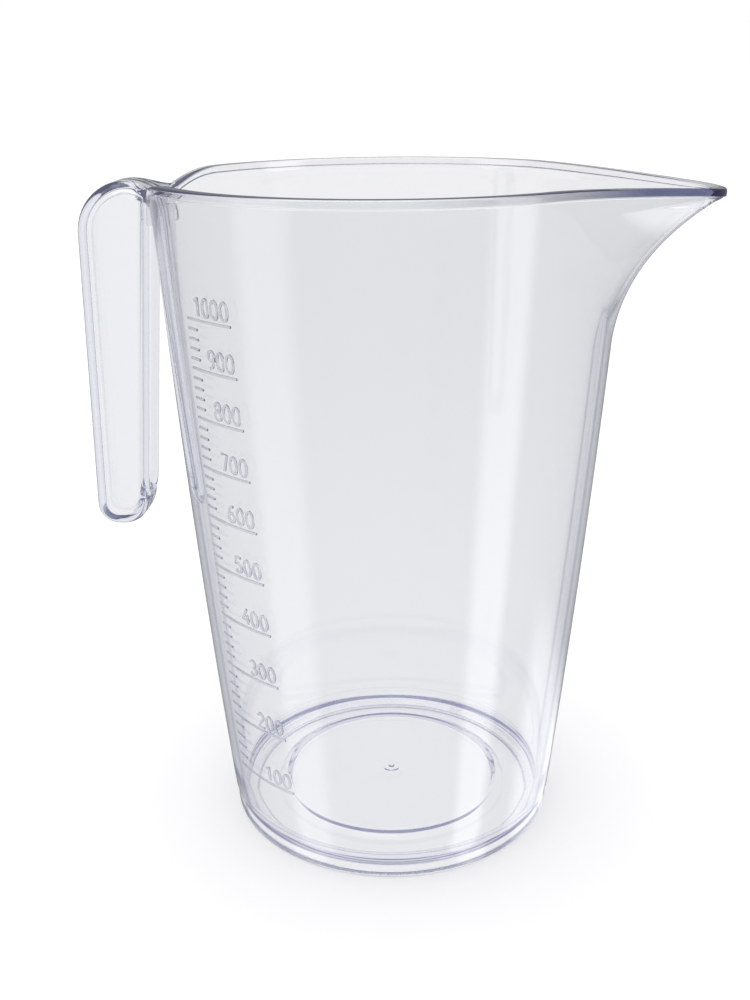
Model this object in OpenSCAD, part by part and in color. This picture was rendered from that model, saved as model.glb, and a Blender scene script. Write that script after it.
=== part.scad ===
// Clear one litre measuring jug with a hanging channel handle, a drawn spout and a raised scale.
// Millimetres. Z is up, the origin is the centre of the foot on the table.
// +X points through the spout and -X through the handle.

/* [Body] */
// Height of the jug, from the table to the top of the rim
jug_h = 170; // [150:1:200]
// Outer radius of the wall where it would meet the rim's top
rim_r = 57; // [52:0.5:64]
// Outer radius of the wall where it would meet the table
foot_r = 44; // [40:0.5:48]
// Outward bow of the wall at half height
wall_bow = 1.1; // [0:0.1:2.5]
// Thickness of the wall
wall_t = 2.5; // [1.8:0.1:3.2]

/* [Rim] */
// Height of the bead that runs round the rim
bead_h = 2; // [1.5:0.1:3]
// How far the bead stands out from the wall
bead_out = 0.85; // [0.4:0.05:1.5]
// Rounding of the bead's edges
bead_round = 0.6; // [0.3:0.05:0.7]

/* [Spout] */
// Distance from the jug's axis to the tip of the spout's wall
spout_reach = 79; // [70:0.5:88]
// Plan radius of the spout's tip
spout_tip_r = 12.6; // [9:0.1:16]
// How far below the rim the spout starts to leave the wall
spout_depth = 40.5; // [30:0.5:55]
// How far the lip falls from the rim to the spout's tip
spout_drop = 3.1; // [1:0.1:5]

/* [Handle] */
// How far the back of the handle stands out from the wall's top, near the crown
handle_reach = 19; // [17:0.5:32]
// How much further out the back lies at its lower end
handle_lean = 1.4; // [0:0.1:3]
// Height of the handle, from its crown to its lower end
handle_h = 88.5; // [70:0.5:110]
// How far the crown lies below the top of the rim
crown_drop = 0.8; // [0.2:0.1:2]
// Width of the channel across its two cheeks
handle_w = 13; // [11:0.5:20]
// Thickness of the handle's walls
handle_t = 2.3; // [1.6:0.1:3]
// Outer radius of the bend from the crown down to the back
crown_r = 13; // [10:0.5:16]
// Radius of the lower corner on the back
heel_r = 5.5; // [4:0.5:8]
// Radius of the lower corner on the side of the jug
toe_r = 7.5; // [6:0.5:10]
// Gap between the wall and the channel's free edges, under the root
gap_top = 1.4; // [1:0.1:4]
// Lean of the free edges away from the jug, over the height of the handle
edge_lean = 6.9; // [4:0.1:9]
// How far the lip along each free edge stands out from its cheek
edge_lip_out = 0.5; // [0.3:0.1:1]
// Dip of the rim behind the handle
saddle_drop = 4.2; // [2:0.1:6]

/* [Foot] */
// Height of the foot, from the table to the ledge under the wall
foot_h = 6; // [5:0.5:9]
// How far the foot steps in from the wall
ledge_in = 1.1; // [0.4:0.1:1.6]
// Bevel round the foot's lower edge
foot_edge = 0.8; // [0.4:0.1:1.2]
// Height of the hollow under the floor
under_h = 1.6; // [1:0.1:2.2]
// Thickness of the floor
floor_t = 2.5; // [2:0.1:3]
// Radius where the floor starts to curve up into the wall
channel_r = 38.8; // [36:0.1:40]
// Radius of the foot of the step in the floor
step_r = 31.6; // [28:0.1:34]
// Radius of the raised middle of the floor
disc_r = 29; // [24:0.1:31]
// Height of the raised middle above the channel round it
step_h = 1.2; // [0.6:0.1:1.6]
// Radius of the moulding gate's mark
gate_r = 2.6; // [1.5:0.1:4]
// Height of the moulding gate's mark
gate_h = 0.6; // [0.3:0.1:1]

/* [Scale] */
// Height of the 1000 ml line above the table
top_line_h = 142.5; // [130:0.1:146]
// Number of numbered lines
line_count = 10; // [5:1:10]
// Number of steps between two numbered lines
step_count = 5; // [2:1:5]
// Length of the topmost numbered line along the wall
top_line_l = 15.4; // [13:0.1:18]
// Length of the lowest numbered line along the wall
low_line_l = 20.8; // [15:0.1:24]
// Length of an unnumbered tick along the wall
tick_l = 3.6; // [2.5:0.1:6]
// Height of a line's rib on the wall
line_h = 0.55; // [0.4:0.05:0.8]
// How far the scale stands out from the wall
relief = 0.35; // [0.2:0.05:0.6]
// Height of the figures
figure_h = 4.4; // [3.5:0.1:5.5]
// Distance from one figure to the next
figure_pitch = 3.05; // [2.8:0.05:3.6]
// Stroke width of the figures
figure_stroke = 0.6; // [0.4:0.05:0.8]
// Gap between a line and the figures above it
figure_gap = 0.9; // [0.5:0.1:1.5]

/* [Hidden] */
$fn = 96;

// Sectors of the upper wall, in degrees either side of the spout and of the handle
spout_half = 50;
root_half = 32;
// Columns and rows of the spout's surface, and columns of the wall behind the handle
spout_cols = 40;
spout_rows = 12;
root_cols = 16;
// Straight cones that the bowed wall is built from
wall_steps = 14;
// Share of the spout's swell that grows with the square of the height, and its plan's narrowing
swell_share = 0.75;
narrow_power = 1.6;
lip_power = 1.5;
crowd_power = 1.3;
// Share of the slope's extra plan thickness that the spout's inner face takes
slope_share = 0.5;
// Share of the bead's overhang that is left in the middle of the saddle
least_share = 0.05;
// Share of the bead's height that the handle's roof gives up from the middle of the saddle to its ends
sink_share = 0.9;
// Middle of the scale on the wall, in degrees
scale_az = -132.2;
// Points on each rounded corner of the handle
corner_steps = 12;
// Least height of the wall's last row under the saddle
last_row_h = 1;
// Turns of the search for a line's height
halvings = 24;

rim_z = jug_h - bead_h;
spout_z = jug_h - spout_depth;
tip_z = jug_h - spout_drop - bead_h;
levels = [for (i = [0:wall_steps]) i * jug_h / wall_steps];
wall_table = [for (z = levels) [z, bowed_r(z)]];

clear_pale = [0.86, 0.88, 0.93, 0.45];
clear_deep = [0.72, 0.75, 0.86, 0.55];
clear_mark = [0.62, 0.65, 0.76, 0.8];

function bowed_r(z) = let (s = z / jug_h) foot_r + (rim_r - foot_r) * s + 4 * wall_bow * s * (1 - s);
function wall_r(z) = lookup(z, wall_table);
function clamp01(v) = min(1, max(0, v));
function reversed(list) = [for (i = [len(list) - 1:-1:0]) list[i]];
function between(z0, z1) = concat([z0], [for (z = levels) if (z > z0 && z < z1) z], [z1]);
function polar(r, az, z) = [r * cos(az), r * sin(az), z];

// Section of the wall from one height to another
function wall_section(z0, z1) = concat(
    [for (z = between(z0, z1)) [wall_r(z), z]],
    [for (z = reversed(between(z0, z1))) [wall_r(z) - wall_t, z]]
);

// Section of the rim's bead on a wall's outer radius and top, from its inner corner round to its outer one
function bead_section(r, z, out) = concat(
    [[r - wall_t, z], [r + max(0, out - bead_round), z], [r + out, z + min(out, bead_round)]],
    [[r + out, z + bead_h - bead_round], [r + out - bead_round, z + bead_h]],
    [[r - wall_t + bead_round, z + bead_h], [r - wall_t, z + bead_h - bead_round]]
);

// Plan radius at an azimuth of a circle drawn out to a smaller circle on +X
function drawn_r(az, big, small, centre) =
    centre <= big - small ? big
    : let (
        a = acos((big - small) / centre),
        touch = atan2(small * sin(a), centre + small * cos(a)),
        t = abs(az)
    ) t >= a ? big
    : t >= touch ? big / cos(t - a)
    : centre * cos(t) + sqrt(small * small - pow(centre * sin(t), 2));

// The spout swells from nothing at its foot to its full reach under the lip
function spout_s(z) = clamp01((z - spout_z) / (tip_z - spout_z));
function spout_swell(z) = let (s = spout_s(z))
    (spout_reach - wall_r(tip_z)) * (swell_share * pow(s, 2) + (1 - swell_share) * pow(s, 4));
function spout_slope(z) = let (s = spout_s(z)) (spout_reach - wall_r(tip_z))
    * (2 * swell_share * s + 4 * (1 - swell_share) * pow(s, 3)) / (tip_z - spout_z);
function spout_small(z) = let (r = wall_r(z))
    spout_tip_r + (r - spout_tip_r) * pow(1 - spout_s(z), narrow_power);
function spout_out_r(az, z, grow) = let (r = wall_r(z), small = spout_small(z))
    drawn_r(az, r + grow, small + grow, r + spout_swell(z) - small);
function spout_in_r(az, z, grow) = let (
        r = wall_r(z), small = spout_small(z),
        extra = slope_share * wall_t * (sqrt(1 + pow(spout_slope(z), 2)) - 1)
    ) drawn_r(az, r - wall_t + grow, small - wall_t + grow, r + spout_swell(z) - small - extra);

// Height of the top of the rim at an azimuth: it falls to the spout's tip and dips behind the handle
function lip_z(az) = let (
        x = spout_out_r(az, tip_z, 0) * cos(az),
        x0 = wall_r(tip_z) * cos(spout_half)
    ) jug_h - spout_drop * pow(clamp01((x - x0) / (spout_reach - x0)), lip_power);
function saddle_z(az) = jug_h - saddle_drop * (1 + cos(180 * min(1, abs(az - 180) / root_half))) / 2;

function spread(n, half, power) = [for (i = [0:n]) let (u = 2 * i / n - 1)
    half * sign(u) * pow(abs(u), power)];
spout_azs = spread(spout_cols, spout_half, crowd_power);
root_azs = [for (a = spread(root_cols, root_half, 1)) 180 + a];

// Closed skin over stations that each hold the same ring of points, its ends in fans from the first point
module swept(stations, closed = false, fans = true) {
    m = len(stations[0]);
    n = len(stations);
    last = closed ? n - 1 : n - 2;
    sides = [for (i = [0:last], j = [0:m - 1]) let (
            a = i * m + j, b = i * m + (j + 1) % m,
            c = ((i + 1) % n) * m + (j + 1) % m, d = ((i + 1) % n) * m + j
        ) each [[a, b, c], [a, c, d]]];
    low = [for (j = [0:m - 1]) j];
    high = [for (j = [0:m - 1]) (n - 1) * m + j];
    caps = closed ? [] : fans ? [for (j = [1:m - 2]) each [
        [low[0], low[j + 1], low[j]], [high[0], high[j], high[j + 1]]
    ]] : [reversed(low), high];
    polyhedron([for (s = stations) each s], concat(sides, caps));
}

// Ring of points round a wall's section at one azimuth, inner face up and outer face down
function wall_ring(az, inner, outer) = concat(
    [for (p = outer) polar(p[0], az, p[1])],
    [for (p = reversed(inner)) polar(p[0], az, p[1])]
);

module sector(a0, a1) {
    rotate([0, 0, a0]) rotate_extrude(angle = a1 - a0) children();
}

module body_wall() {
    color(clear_pale) rotate_extrude() polygon(wall_section(foot_h, spout_z));
}

module side_wall(a0, a1) {
    color(clear_pale) sector(a0, a1) polygon(wall_section(spout_z, rim_z));
}

module side_wall_near() {
    side_wall(180 + root_half, 360 - spout_half);
}

module side_wall_far() {
    side_wall(spout_half, 180 - root_half);
}

// Heights of the rows of the wall behind the handle, at one azimuth
function back_rows(az) = let (top = saddle_z(az) - bead_h)
    concat([for (z = between(spout_z, rim_z - saddle_drop - last_row_h)) z], [top]);

module back_wall() {
    color(clear_pale) swept([for (az = root_azs) wall_ring(
        az,
        [for (z = back_rows(az)) [wall_r(z) - wall_t, z]],
        [for (z = back_rows(az)) [wall_r(z), z]]
    )], fans = false);
}

module rim_bead(a0, a1) {
    color(clear_deep) sector(a0, a1) polygon(bead_section(wall_r(rim_z), rim_z, bead_out));
}

module rim_bead_near() {
    rim_bead(180 + root_half, 360 - spout_half);
}

module rim_bead_far() {
    rim_bead(spout_half, 180 - root_half);
}

// Behind the handle the bead sinks into the handle's roof, from each side to the middle
function root_share(az) = abs(az - 180) / root_half;
function saddle_out(az) = bead_out * max(least_share, root_share(az));

module rim_saddle() {
    color(clear_deep) swept([for (az = root_azs) let (z = saddle_z(az) - bead_h)
        [for (p = bead_section(wall_r(z), z, saddle_out(az))) polar(p[0], az, p[1])]]);
}

module spout_wall() {
    rows = [for (i = [0:spout_rows]) i / spout_rows];
    color(clear_pale) swept([for (az = spout_azs) let (top = lip_z(az) - bead_h)
        let (zs = [for (s = rows) spout_z + (top - spout_z) * s]) wall_ring(
            az,
            [for (z = zs) [spout_in_r(az, z, 0), z]],
            [for (z = zs) [spout_out_r(az, z, 0), z]]
        )], fans = false);
}

module spout_lip() {
    color(clear_deep) swept([for (az = spout_azs) let (top = lip_z(az), z = top - bead_h)
        [for (p = [
            [spout_in_r(az, z, 0), z],
            [spout_out_r(az, z, bead_out - bead_round), z],
            [spout_out_r(az, z, bead_out), z + bead_round],
            [spout_out_r(az, z, bead_out), top - bead_round],
            [spout_out_r(az, z, bead_out - bead_round), top],
            [spout_in_r(az, z, bead_round), top],
            [spout_in_r(az, z, 0), top - bead_round]
        ]) polar(p[0], az, p[1])]]);
}

// The handle's side outline, as distances out from the axis and heights
crown_z = jug_h - crown_drop;
heel_z = crown_z - handle_h;
root_low_z = crown_z - crown_r + handle_t;
back_x = rim_r + handle_reach;
back_top = [back_x, crown_z - crown_r];
crown_mid = [back_x - crown_r, crown_z - crown_r];
heel_mid = [back_x + handle_lean - heel_r, heel_z + heel_r];
edge_top = [wall_r(root_low_z) + gap_top, root_low_z];
function edge_x(z) = edge_top[0] + edge_lean * (root_low_z - z) / handle_h;
// The toe's bend has the room that the heel leaves between the free edge and the back
toe_bend = min(toe_r, heel_mid[0] - edge_x(heel_z));
toe_z = heel_z + toe_bend;
edge_low = [edge_x(toe_z), toe_z];
toe_mid = [edge_low[0] + toe_bend, toe_z];

function arc(mid, r, a0, a1) = [for (i = [0:corner_steps]) let (a = a0 + (a1 - a0) * i / corner_steps)
    mid + r * [cos(a), sin(a)]];
function side(points) = [for (p = points) [-p[0], p[1]]];

// A plate in the handle's middle plane, between two distances across it
module plate(y0, y1) {
    translate([0, y1, 0]) rotate([90, 0, 0]) linear_extrude(y1 - y0) children();
}

module strap() {
    color(clear_pale) plate(-handle_w / 2, handle_w / 2) children();
}

module handle_crown() {
    strap() polygon(side(concat(
        arc(crown_mid, crown_r, 90, 0),
        arc(crown_mid, crown_r - handle_t, 0, 90)
    )));
}

module handle_back() {
    strap() polygon(side([
        back_top,
        heel_mid + [heel_r, 0],
        heel_mid + [heel_r - handle_t, 0],
        back_top - [handle_t, 0]
    ]));
}

module handle_end() {
    strap() polygon(side(concat(
        arc(heel_mid, heel_r, 0, -90),
        arc(toe_mid, toe_bend, -90, -180),
        arc(toe_mid, toe_bend - handle_t, -180, -90),
        arc(heel_mid, heel_r - handle_t, -90, 0)
    )));
}

// Solid sector that fills the jug behind the handle, for cutting what meets the wall
module wall_core() {
    swept([for (az = root_azs) let (rows = back_rows(az))
        wall_ring(az, [for (z = rows) [wall_r(z) / 2, z]], [for (z = rows) [wall_r(z), z]])], fans = false);
}

// Roof that spreads from the channel's crown to the rim, seated on the wall and under the bead
module handle_root() {
    last = len(root_azs) - 1;
    color(clear_pale) swept([for (i = [0:last]) let (
            az = root_azs[i], y = handle_w * (1 - 2 * i / last) / 2,
            z = saddle_z(az) - bead_h, low = z - handle_t, r = wall_r(z), out = saddle_out(az),
            seat = [for (k = [2, 1]) bead_section(r, z, out)[k]],
            high = bead_h - bead_round - (bead_h - 2 * bead_round) * sink_share * root_share(az)
        ) concat(
            [[-crown_mid[0], y, crown_z], polar(r + out, az, z + high)],
            [for (p = seat) polar(p[0], az, p[1])],
            [polar(r, az, z), polar(wall_r(low), az, low), [-crown_mid[0], y, crown_z - handle_t]]
        )]);
}

module cheek(y0, y1) {
    wall_side = wall_r(spout_z);
    seat_z = jug_h - saddle_drop - bead_h - handle_t / 2;
    color(clear_pale) difference() {
        plate(y0, y1) polygon(side(concat(
            [[wall_side, root_low_z], edge_top + [handle_t, 0], edge_low + [handle_t, 0]],
            arc(toe_mid, toe_bend - handle_t, -180, -90),
            arc(heel_mid, heel_r - handle_t, -90, 0),
            arc(crown_mid, crown_r - handle_t, 0, 90),
            [[wall_r(seat_z), seat_z], [wall_side, seat_z]]
        )));
        wall_core();
        handle_root();
    }
}

module handle_cheek_near() {
    cheek(-handle_w / 2, handle_t - handle_w / 2);
}

module handle_cheek_far() {
    cheek(handle_w / 2 - handle_t, handle_w / 2);
}

// Lip along a free edge, standing a little out from its cheek
module edge_lip(y0, y1) {
    color(clear_deep) plate(y0, y1) polygon(side([
        edge_top, edge_low, edge_low + [handle_t, 0], edge_top + [handle_t, 0]
    ]));
}

module handle_edge_near() {
    edge_lip(-handle_w / 2 - edge_lip_out, handle_t - handle_w / 2);
}

module handle_edge_far() {
    edge_lip(handle_w / 2 - handle_t, handle_w / 2 + edge_lip_out);
}

floor_z = under_h + floor_t;

module foot_ring() {
    wall_in = wall_r(foot_h) - wall_t;
    color(clear_deep) rotate_extrude() polygon(concat(
        [[channel_r, 0], [foot_r - foot_edge, 0], [foot_r, foot_edge]],
        [[wall_r(foot_h) - ledge_in, foot_h]],
        [for (i = [0:corner_steps]) let (a = 90 * i / corner_steps)
            [channel_r + (wall_in - channel_r) * cos(a), foot_h - (foot_h - floor_z) * sin(a)]]
    ));
}

module floor_channel() {
    color(clear_pale) rotate_extrude() polygon([
        [step_r, under_h], [channel_r, under_h], [channel_r, floor_z], [step_r, floor_z]
    ]);
}

module floor_step() {
    color(clear_deep) rotate_extrude() polygon([
        [disc_r, under_h + step_h], [step_r, under_h], [step_r, floor_z], [disc_r, floor_z + step_h]
    ]);
}

module floor_disc() {
    color(clear_pale) translate([0, 0, under_h + step_h]) cylinder(h = floor_t, r = disc_r);
}

module gate_mark() {
    color(clear_deep) translate([0, 0, floor_z + step_h])
        cylinder(h = gate_h, r1 = gate_r, r2 = gate_r - gate_h);
}

// Volume inside the jug up to a height, over pi: the bowed wall is a parabola in z
function bore_integral(z) = let (
        a = foot_r - wall_t, b = (rim_r - foot_r + 4 * wall_bow) / jug_h, c = -4 * wall_bow / pow(jug_h, 2)
    ) a * a * z + a * b * pow(z, 2) + (b * b + 2 * a * c) * pow(z, 3) / 3
    + b * c * pow(z, 4) / 2 + c * c * pow(z, 5) / 5;
function filled(z) = bore_integral(z) - bore_integral(floor_z)
    - step_h * (disc_r * disc_r + disc_r * step_r + step_r * step_r) / 3;

// Height at which a share of the top line's volume is reached, found by halving
function share_z(share, lo, hi, turns) = let (mid = (lo + hi) / 2)
    turns == 0 ? mid
    : filled(mid) < share * filled(top_line_h) ? share_z(share, mid, hi, turns - 1)
    : share_z(share, lo, mid, turns - 1);
function line_z(i) = share_z(i / line_count, floor_z, 2 * top_line_h, halvings);
function line_l(i) = low_line_l + (top_line_l - low_line_l) * (i - 1) / (line_count - 1);
function arc_deg(l, z) = 180 * l / (PI * wall_r(z));
function line_left(i) = let (z = line_z(i)) scale_az - arc_deg(line_l(i), z) / 2;

// A raised rib along the wall, level, from one azimuth to another
module rib(z, a0, a1) {
    z0 = z - line_h / 2;
    z1 = z + line_h / 2;
    sector(a0, a1) polygon([
        [wall_r(z0), z0], [wall_r(z) + relief, z0], [wall_r(z) + relief, z1], [wall_r(z1), z1]
    ]);
}

module scale_lines() {
    color(clear_mark) for (i = [1:line_count]) let (z = line_z(i), half = arc_deg(line_l(i), z) / 2)
        rib(z, scale_az - half, scale_az + half);
}

module scale_ticks() {
    color(clear_mark) for (i = [1:line_count - 1], j = [1:step_count - 1])
        let (k = i + j / step_count, z = line_z(k), left = line_left(k))
            rib(z, left, left + arc_deg(tick_l, z));
}

// Figures are strokes on a cell as high as 1, in shares of their height
function bend(x, y, rx, ry, a0, a1, n) = [for (i = [0:n]) let (a = a0 + (a1 - a0) * i / n)
    [x + rx * cos(a), y + ry * sin(a)]];
function loop(x, y, rx, ry) = let (p = bend(x, y, rx, ry, 0, 360, 16)) [for (i = [0:15]) p[i]];
open_shares = [
    [],
    [[[0.10, 0.78], [0.35, 0.92]], [[0.35, 0.96], [0.35, 0.04]]],
    [concat(bend(0.30, 0.71, 0.22, 0.24, 165, -35, 8), [[0.07, 0.04], [0.54, 0.04]])],
    [concat(bend(0.28, 0.73, 0.21, 0.22, 150, -75, 8), bend(0.28, 0.28, 0.25, 0.24, 75, -150, 8))],
    [[[0.42, 0.96], [0.05, 0.30], [0.57, 0.30]], [[0.42, 0.58], [0.42, 0.04]]],
    [concat([[0.51, 0.96], [0.14, 0.96], [0.10, 0.55]], bend(0.28, 0.33, 0.25, 0.28, 115, -150, 9))],
    [bend(0.42, 0.32, 0.35, 0.62, 80, 170, 6)],
    [[[0.06, 0.96], [0.54, 0.96], [0.22, 0.04]]],
    [],
    [bend(0.18, 0.68, 0.35, 0.62, -100, -10, 6)]
];
closed_shares = [
    [loop(0.30, 0.50, 0.24, 0.46)], [], [], [], [], [],
    [loop(0.30, 0.29, 0.24, 0.25)], [],
    [loop(0.30, 0.74, 0.20, 0.22), loop(0.30, 0.27, 0.24, 0.24)],
    [loop(0.30, 0.71, 0.24, 0.25)]
];

// Stations of a stroke on the wall, its foot corner at an azimuth and a height
function stroke_rings(points, az, z, closed) = let (n = len(points)) [for (i = [0:n - 1]) let (
        before = points[closed ? (i + n - 1) % n : max(0, i - 1)],
        after = points[closed ? (i + 1) % n : min(n - 1, i + 1)],
        way = (after - before) / norm(after - before),
        across = [-way[1], way[0]] * figure_stroke / 2
    ) [for (e = [[1, 0], [-1, 0], [-1, 1], [1, 1]]) let (
        p = points[i] * figure_h + e[0] * across,
        high = z + p[1]
    ) polar(wall_r(high) + e[1] * relief, az + arc_deg(p[0], high), high)]];

module figure(digit, az, z) {
    for (points = open_shares[digit]) swept(stroke_rings(points, az, z, false));
    for (points = closed_shares[digit]) swept(stroke_rings(points, az, z, true), closed = true);
}

function digits(n) = n < 10 ? [n] : concat(digits(floor(n / 10)), [n % 10]);

module scale_figures() {
    color(clear_mark) for (i = [1:line_count]) let (
            z = line_z(i), list = digits(100 * i), last = len(list),
            right = scale_az + arc_deg(line_l(i), z) / 2
        ) for (k = [0:last - 1])
            figure(list[k], right - arc_deg(figure_pitch * (last - k), z), z + figure_gap);
}

body_wall();
side_wall_near();
side_wall_far();
back_wall();
rim_bead_near();
rim_bead_far();
rim_saddle();
spout_wall();
spout_lip();
handle_root();
handle_crown();
handle_back();
handle_end();
handle_cheek_near();
handle_cheek_far();
handle_edge_near();
handle_edge_far();
foot_ring();
floor_channel();
floor_step();
floor_disc();
gate_mark();
scale_lines();
scale_ticks();
scale_figures();
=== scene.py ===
import math

import bmesh
import bpy
import numpy as np
from mathutils import Matrix, Vector

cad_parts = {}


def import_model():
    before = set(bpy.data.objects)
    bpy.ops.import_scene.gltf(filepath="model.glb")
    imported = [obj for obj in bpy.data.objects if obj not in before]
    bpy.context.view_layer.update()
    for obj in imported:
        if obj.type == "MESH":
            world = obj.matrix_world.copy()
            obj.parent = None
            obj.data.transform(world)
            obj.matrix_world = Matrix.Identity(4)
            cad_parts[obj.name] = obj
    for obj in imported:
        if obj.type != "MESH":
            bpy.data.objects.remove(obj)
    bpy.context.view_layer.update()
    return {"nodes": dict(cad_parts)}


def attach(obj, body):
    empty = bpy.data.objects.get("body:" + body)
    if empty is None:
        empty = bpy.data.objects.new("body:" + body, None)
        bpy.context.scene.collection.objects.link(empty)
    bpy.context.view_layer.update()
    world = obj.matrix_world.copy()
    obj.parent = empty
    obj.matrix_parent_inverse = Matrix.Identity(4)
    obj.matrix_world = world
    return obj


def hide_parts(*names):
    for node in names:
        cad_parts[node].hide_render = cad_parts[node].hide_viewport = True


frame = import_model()

# Clear one litre measuring jug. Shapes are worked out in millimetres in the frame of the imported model:
# Z up, +X through the spout, -X through the handle, the scale on the side of the camera.
MM = 0.001

# Wall
JUG_H = 170.0
RIM_R = 57.0
FOOT_R = 44.0
WALL_BOW = 1.1            # bulge at half height
WALL_T = 2.5

# Bead round the rim
BEAD_H = 2.0
BEAD_OUT = 0.85
BEAD_SINK_SHARE = 0.3     # share of its reach that is lost behind the handle
BEAD_RISE = 0.12          # how much its underside rises outwards
BEAD_FOOT_ROUND = 0.35
BEAD_EDGE_ROUND = 0.3
BEAD_TOP_ROUND = 0.75
MOUTH_ROUND = 0.8         # rounding of the rim's inner edge
UNDER_BEAD_OUT = 0.35     # the wall's rows outside run towards a line this far under the bead
UNDER_BEAD_IN = 0.5       # and its rows inside run down from one this far under it

# Spout
SPOUT_REACH = 79.0
SPOUT_TIP_R = 12.6
SPOUT_Z = JUG_H - 40.5    # where it starts to leave the wall
SPOUT_DROP = 3.1
TIP_Z = JUG_H - SPOUT_DROP - BEAD_H
SPOUT_HALF = math.radians(50)       # bearing at which the rim starts to fall
SWELL_SHARE = 0.75        # share of its swell that grows with the square of the height
NARROW_POWER = 1.6        # how quickly it narrows with height
LIP_POWER = 1.5           # how late the rim falls towards its tip
SLOPE_SHARE = 0.5         # share that is kept of a sloping wall's extra thickness in plan

# Handle
HANDLE_REACH = 76.0
HANDLE_LEAN = 1.4
HANDLE_H = 88.5
HANDLE_W = 13.0
HANDLE_T = 2.3
CROWN_Z = JUG_H - 0.8
CROWN_R = 13.0
HEEL_Z = CROWN_Z - HANDLE_H
HEEL_R = 5.5              # bend at the lower end's outer side
TOE_R = 7.5               # bend at the lower end's side towards the jug
TOE_Z = HEEL_Z + TOE_R
ROOT_LOW_Z = CROWN_Z - CROWN_R + HANDLE_T
EDGE_ROUND = 3.0          # rounding of its sides
PLATE_END = 55.6          # distance from the axis where its plate ends, inside the wall
ROOF_FALL = 0.5           # how much its roof falls evenly from the crown to the plate's end
HOLLOW_END = 52.0         # distance from the axis where its hollow ends, past the plate
HOLLOW_ROUND = 1.4
HOLLOW_TOE_START = 188    # degrees

# The handle's free edges, which stand further from the jug's axis the lower they are
GAP_TOP = 1.4             # gap to the wall at the root
EDGE_LEAN = 6.9           # how much further out they would be over the handle's height
EDGE_SHARE = 0.18         # share of an inset that they are drawn in by
EDGE_BACK = 0.5           # the plate's edges stand this far back inside the lip's bar
BACK_FADE = 0.55          # share of the toe's turn over which EDGE_BACK fades
LIP_ROUND = 1.9           # rounding at the foot of the hollow's mouth
BAR_DEEP = 1.15           # half depth and half width of the lip's bar
BAR_WIDE = 1.4
BAR_OUT = 0.3             # it stands this far proud of the cheeks
BAR_RISE = 7.3            # its ends run this far above the root's low side

# The handle's root, and the saddle that the rim dips to behind it
SADDLE_DROP = 4.2
SADDLE_HALF = math.radians(32)
FLARE_HALF = math.radians(32)
FLARE_SWELL = 0.9         # swell of the wall's outer face at the root
FLARE_LOW_Z = 150.0       # height where that swell starts
FLARE_WALL_Z = 165.0      # height where the root's fillets take the wall's radius
FILLET_R = 8.5
FILLET_SHARE = 0.985      # share of the fillets' radius that is used
FLARE_IN = 2.1            # the root starts this far inside the wall's outer face
FLARE_PAST = 0.5          # and ends this far past the start of the crown's bend
CHEEK_SKIN = 0.02         # it stays this far inside the cheeks
CREST_SKIN = 0.03         # this far under the crown
RIM_SKIN = 0.25           # this far under the rim's top
LOW_SKIN = 0.4            # and this far above the root's low side
START_ROUND = 0.8         # rounding of its sides at the wall
FLARE_DEEP = 2.6          # its depth at the wall, at its outer ends
END_DEEP = 0.3            # its depth below the rounding, at the crown
LOW_POWER = 1.3           # how its underside curves across
RISE_POWER = 0.9          # and how it rises to the crown

# Underside and foot, out to the wall
UNDER_H = 1.6
UNDER_STEP_ROUND = 1.0
CHANNEL_R = 38.8
CHANNEL_DRAFT = 0.4
CHANNEL_ROUND = 0.6
FOOT_H = 6.0
FOOT_IN_ROUND = 0.5
FOOT_ROUND = 0.9
LEDGE_IN = 1.1            # the foot's top is set in from the wall by this much
LEDGE_DROP = 0.2
LEDGE_RISE = 0.35
LEDGE_ROUND = 0.35
WALL_FOOT_ROUND = 0.5
WALL_START = 6.0          # height above the foot where the plain wall starts

# Floor: a step and a disc with a low rib round it
FLOOR_T = 2.5
FLOOR_FILLET = 5.0
FILLET_TOP = 16.0
STEP_R = 31.6
STEP_H = 1.2
SLOPE_OUT = 0.6           # the step's slope starts this far outside STEP_R
SLOPE_IN = 1.6            # and ends this far inside it
SLOPE_LOW_ROUND = 0.6
SLOPE_TOP_ROUND = 0.8
DISC_R = 29.0
RIB_H = 0.25
RIB_OUT = 0.2
RIB_IN = 0.7
RIB_OUT_ROUND = 0.4
RIB_IN_ROUND = 0.3

# Gate mark: a low pad with a nub in its middle
GATE_R = 2.6
GATE_H = 0.6
PAD_H = 0.25
PAD_SLOPE = 0.5
PAD_LOW_ROUND = 0.4
PAD_TOP_ROUND = 0.5
NUB_R = 0.9
NUB_TOP_R = 0.6
NUB_LOW_ROUND = 0.3
NUB_TOP_ROUND = 0.25

# Rows and columns of the meshes. The columns round the jug are given in degrees.
TIP_HALF = 18
TIP_STEP = 0.6
SIDE_STEP = 1.2
WALL_ROWS = 24
SPOUT_ROWS = 40
BEAD_STEPS = 7
ROOF_STEPS = 8
TOE_STEPS = 32
LIP_STEPS = 5
PLATE_STEPS = 8
FLARE_ROWS = 26
FLARE_COLUMNS = 61
BAR_SIDES = 24
BAR_ROWS = 24
SHARP = 38                # edges with a wider angle stay sharp, in degrees
MERGE = 1e-7              # metres

# Limits of the outline formulas
GUIDE = 1.0               # length of an outline's end sides, which only guide its roundings
CORNER_SHARE = 0.49       # share of a side that one rounding takes at most
STEEP = 1.4               # radians, just under a right angle
TINY = 1e-9               # keeps a divisor off zero

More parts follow.
